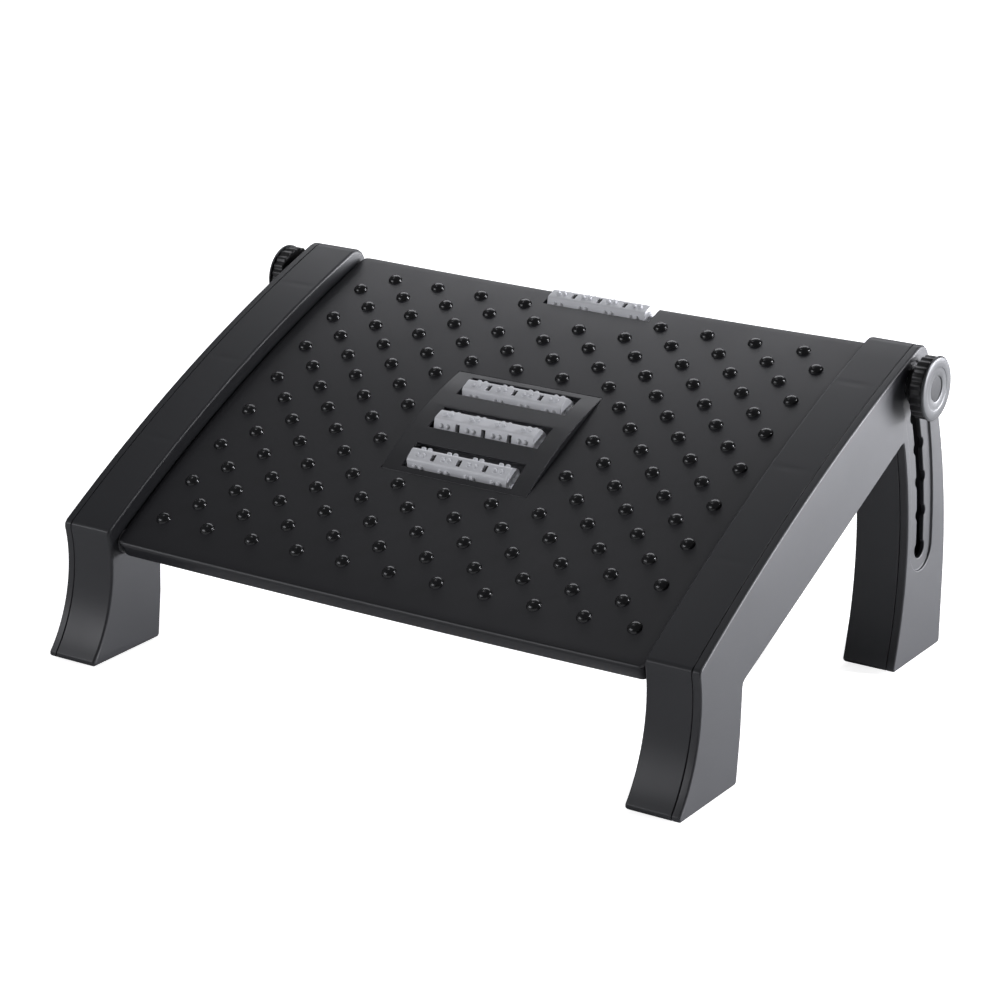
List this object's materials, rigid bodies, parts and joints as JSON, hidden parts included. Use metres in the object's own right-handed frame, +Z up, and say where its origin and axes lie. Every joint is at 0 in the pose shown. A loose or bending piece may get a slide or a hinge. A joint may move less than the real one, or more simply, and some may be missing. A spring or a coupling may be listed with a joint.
{
  "type": "tilting under desk footrest",
  "caption": "Free-standing footrest: a studded deck with spinning massage rollers, hinged between two leg frames and clamped at a chosen slope by a hand knob on each side",
  "frame": {"origin": "on the floor under the middle of the object's box: x half-way between the knobs, y half-way between the frames' toes and heels, z at the underside of the foot pads", "axes": "+X to the user's right across the deck, +Y away from the user towards the raised rear edge, +Z up"},
  "size_m": [0.5142, 0.354, 0.2207],
  "materials": {
    "frame_plastic": "charcoal moulded plastic, fine satin grain",
    "deck_plastic": "near-black moulded plastic, satin",
    "roller_plastic": "light cool grey moulded plastic, semi-matt",
    "knob_plastic": "black moulded plastic, satin",
    "silver_cap": "silver-coloured plastic, satin",
    "nylon": "dark grey nylon",
    "foot_rubber": "black rubber",
    "steel": "zinc-plated steel",
    "brass": "turned brass"
  },
  "bodies": {
    "frames": {"left_frame_shell": "frame_plastic", "left_frame_cover": "frame_plastic", "left_front_foot_pad": "foot_rubber", "left_rear_foot_pad": "foot_rubber", "left_pivot_bush": "nylon", "left_frame_screw_1": "steel", "left_frame_screw_2": "steel", "left_frame_screw_3": "steel", "left_frame_screw_4": "steel", "right_frame_shell": "frame_plastic", "right_frame_cover": "frame_plastic", "right_front_foot_pad": "foot_rubber", "right_rear_foot_pad": "foot_rubber", "right_pivot_bush": "nylon", "right_frame_screw_1": "steel", "right_frame_screw_2": "steel", "right_frame_screw_3": "steel", "right_frame_screw_4": "steel"},
    "deck": {"footrest_deck": "deck_plastic", "roller_panel": "deck_plastic", "roller_keeper": "nylon", "panel_screw_1": "steel", "panel_screw_2": "steel", "panel_screw_3": "steel", "panel_screw_4": "steel", "left_pivot_pin": "steel", "left_pivot_spacer": "nylon", "left_clamp_bolt": "steel", "left_clamp_spacer": "nylon", "left_knob_washer": "steel", "left_edge_keeper": "nylon", "left_edge_keeper_screw": "steel", "right_pivot_pin": "steel", "right_pivot_spacer": "nylon", "right_clamp_bolt": "steel", "right_clamp_spacer": "nylon", "right_knob_washer": "steel", "right_edge_keeper": "nylon", "right_edge_keeper_screw": "steel"},
    "left_knob": {"left_knob_body": "knob_plastic", "left_knob_nut": "brass", "left_knob_cap": "silver_cap"},
    "right_knob": {"right_knob_body": "knob_plastic", "right_knob_nut": "brass", "right_knob_cap": "silver_cap"},
    "front_roller_body": {"front_roller": "roller_plastic"},
    "middle_roller_body": {"middle_roller": "roller_plastic"},
    "rear_roller_body": {"rear_roller": "roller_plastic"},
    "edge_roller_body": {"edge_roller": "roller_plastic"}
  },
  "joints": [
    {"name": "deck_tilt", "type": "hinge", "parent": "frames", "child": "deck", "pos_m": [0, -0.14, 0.079], "axis": [1, 0, 0], "range_deg": [-25, 0]},
    {"name": "left_knob_turn", "type": "hinge", "parent": "deck", "child": "left_knob", "pos_m": [-0.25, 0.11377, 0.19733], "axis": [-1, 0, 0], "continuous": true},
    {"name": "right_knob_turn", "type": "hinge", "parent": "deck", "child": "right_knob", "pos_m": [0.25, 0.11377, 0.19733], "axis": [1, 0, 0], "continuous": true},
    {"name": "front_roller_spin", "type": "hinge", "parent": "deck", "child": "front_roller_body", "pos_m": [-0.0018, -0.04093, 0.13749], "axis": [1, 0, 0], "continuous": true},
    {"name": "middle_roller_spin", "type": "hinge", "parent": "deck", "child": "middle_roller_body", "pos_m": [-0.0018, -0.00963, 0.15464], "axis": [1, 0, 0], "continuous": true},
    {"name": "rear_roller_spin", "type": "hinge", "parent": "deck", "child": "rear_roller_body", "pos_m": [-0.0018, 0.02372, 0.16734], "axis": [1, 0, 0], "continuous": true},
    {"name": "edge_roller_spin", "type": "hinge", "parent": "deck", "child": "edge_roller_body", "pos_m": [-0.0018, 0.1294, 0.20565], "axis": [1, 0, 0], "continuous": true}
  ]
}
